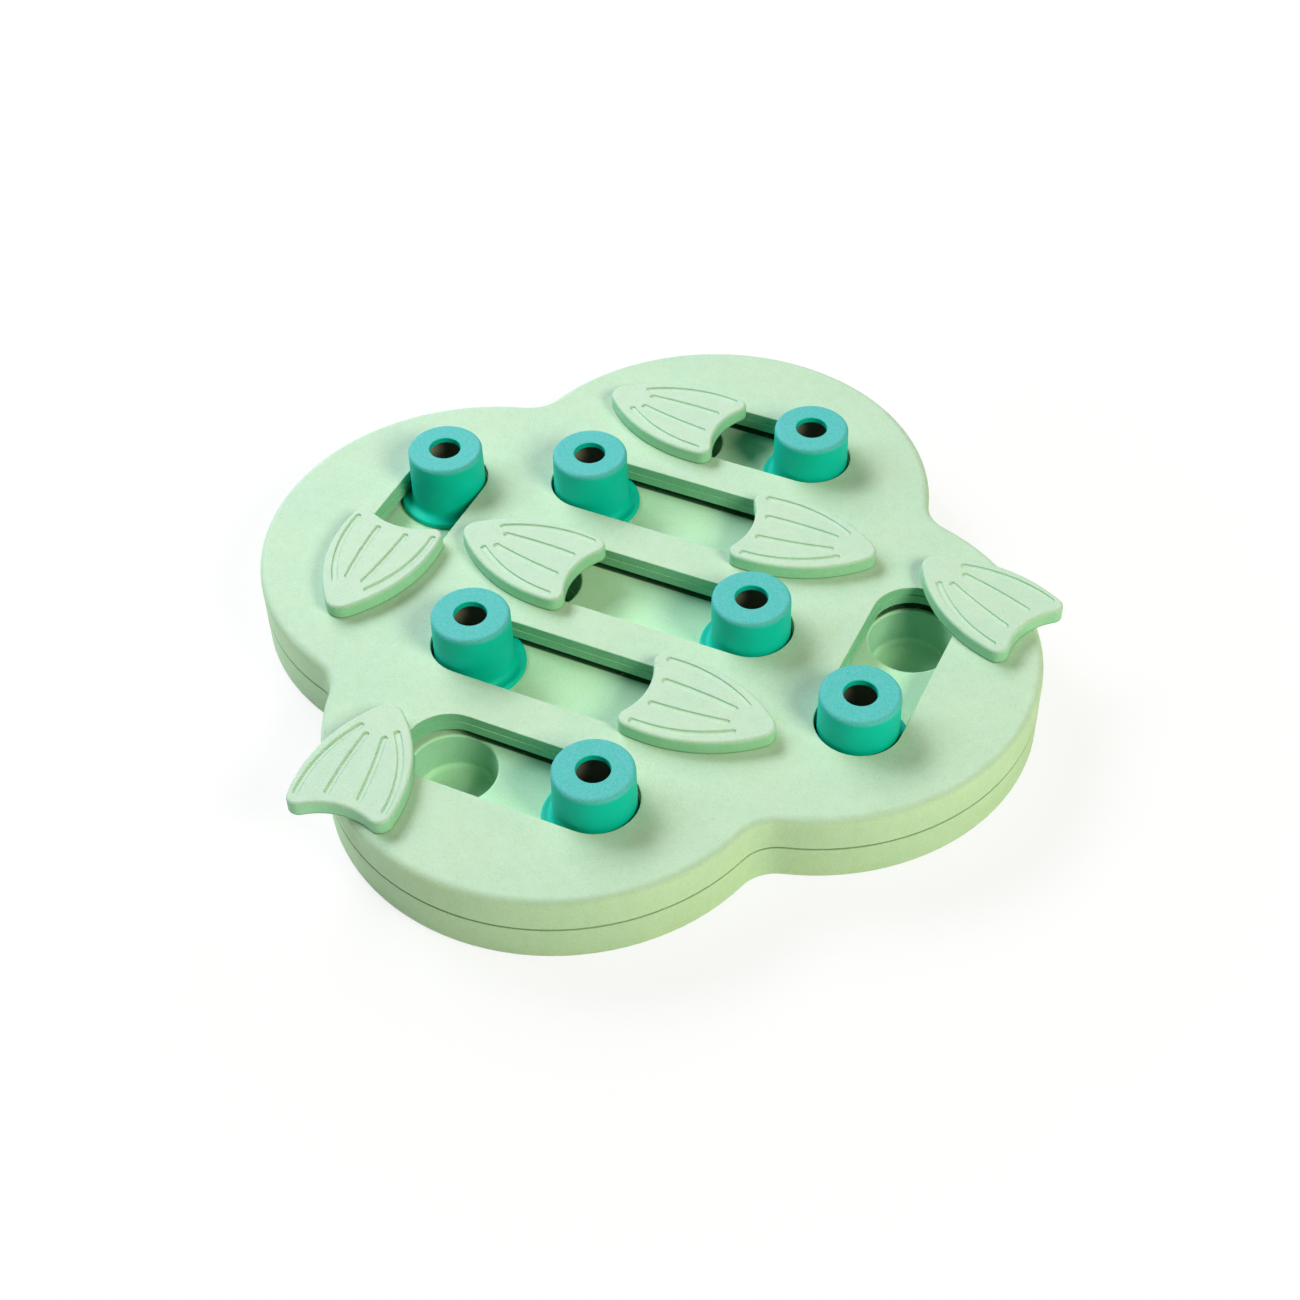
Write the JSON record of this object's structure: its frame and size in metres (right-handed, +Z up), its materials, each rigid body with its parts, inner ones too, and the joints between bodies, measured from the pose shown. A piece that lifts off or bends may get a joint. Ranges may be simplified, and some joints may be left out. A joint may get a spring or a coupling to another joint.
{
  "type": "dog puzzle feeder",
  "caption": "Low four-lobed puzzle board for dry dog food, with hollow pegs that slide along slots and flat swinging leaf covers over the wells.",
  "frame": {"origin": "on the supporting surface, under the middle of the four-lobed board", "axes": "+Z up, the thin way through the board; X along the three long middle slots; Y across them"},
  "size_m": [0.421, 0.421, 0.0616],
  "materials": {
    "board_plastic": "pale green moulded polypropylene, fine matte grain with a faint fleck",
    "peg_plastic": "teal green moulded plastic, satin",
    "leaf_plastic": "pale green moulded plastic, fine matte grain",
    "screw_steel": "plain zinc-plated steel",
    "foot_rubber": "dark grey-green rubber"
  },
  "bodies": {
    "board": {"top_shell": "board_plastic", "well_tray": "board_plastic", "base_shell": "board_plastic", "case_screws": "screw_steel", "rubber_feet": "foot_rubber"},
    "peg_1": {"peg_1": "peg_plastic"},
    "peg_2": {"peg_2": "peg_plastic"},
    "peg_3": {"peg_3": "peg_plastic"},
    "peg_4": {"peg_4": "peg_plastic"},
    "peg_5": {"peg_5": "peg_plastic"},
    "peg_6": {"peg_6": "peg_plastic"},
    "peg_7": {"peg_7": "peg_plastic"},
    "leaf_1": {"leaf_1": "leaf_plastic", "leaf_washer_1": "screw_steel", "leaf_screw_1": "screw_steel"},
    "leaf_2": {"leaf_2": "leaf_plastic", "leaf_washer_2": "screw_steel", "leaf_screw_2": "screw_steel"},
    "leaf_3": {"leaf_3": "leaf_plastic", "leaf_washer_3": "screw_steel", "leaf_screw_3": "screw_steel"},
    "leaf_4": {"leaf_4": "leaf_plastic", "leaf_washer_4": "screw_steel", "leaf_screw_4": "screw_steel"},
    "leaf_5": {"leaf_5": "leaf_plastic", "leaf_washer_5": "screw_steel", "leaf_screw_5": "screw_steel"},
    "leaf_6": {"leaf_6": "leaf_plastic", "leaf_washer_6": "screw_steel", "leaf_screw_6": "screw_steel"},
    "leaf_7": {"leaf_7": "leaf_plastic", "leaf_washer_7": "screw_steel", "leaf_screw_7": "screw_steel"}
  },
  "joints": [
    {"name": "peg_1_slide", "type": "slide", "parent": "board", "child": "peg_1", "axis": [0, -1, 0], "range_m": [0, 0.0305]},
    {"name": "peg_2_slide", "type": "slide", "parent": "board", "child": "peg_2", "axis": [1, 0, 0], "range_m": [0, 0.0665]},
    {"name": "peg_3_slide", "type": "slide", "parent": "board", "child": "peg_3", "axis": [-1, 0, 0], "range_m": [0, 0.029]},
    {"name": "peg_4_slide", "type": "slide", "parent": "board", "child": "peg_4", "axis": [1, 0, 0], "range_m": [0, 0.0665]},
    {"name": "peg_5_slide", "type": "slide", "parent": "board", "child": "peg_5", "axis": [-1, 0, 0], "range_m": [0, 0.0665]},
    {"name": "peg_6_slide", "type": "slide", "parent": "board", "child": "peg_6", "axis": [0, 1, 0], "range_m": [0, 0.063]},
    {"name": "peg_7_slide", "type": "slide", "parent": "board", "child": "peg_7", "axis": [-1, 0, 0], "range_m": [0, 0.0715]},
    {"name": "leaf_1_swing", "type": "hinge", "parent": "board", "child": "leaf_1", "pos_m": [-0.1352, -0.0723, 0.041], "axis": [0, 0, 1], "range_deg": [-41, 119]},
    {"name": "leaf_2_swing", "type": "hinge", "parent": "board", "child": "leaf_2", "pos_m": [0.0944, 0.0676, 0.041], "axis": [0, 0, 1], "range_deg": [-25, 17]},
    {"name": "leaf_3_swing", "type": "hinge", "parent": "board", "child": "leaf_3", "pos_m": [-0.0723, 0.1352, 0.041], "axis": [0, 0, 1], "range_deg": [-25, 169]},
    {"name": "leaf_4_swing", "type": "hinge", "parent": "board", "child": "leaf_4", "pos_m": [0.0944, -0.0676, 0.041], "axis": [0, 0, 1], "range_deg": [-22, 21]},
    {"name": "leaf_5_swing", "type": "hinge", "parent": "board", "child": "leaf_5", "pos_m": [-0.0944, 0, 0.041], "axis": [0, 0, 1], "range_deg": [-16, 27]},
    {"name": "leaf_6_swing", "type": "hinge", "parent": "board", "child": "leaf_6", "pos_m": [0.1352, 0.0723, 0.041], "axis": [0, 0, 1], "range_deg": [-92, 132]},
    {"name": "leaf_7_swing", "type": "hinge", "parent": "board", "child": "leaf_7", "pos_m": [-0.0723, -0.1352, 0.041], "axis": [0, 0, -1], "range_deg": [-112, 67]}
  ]
}
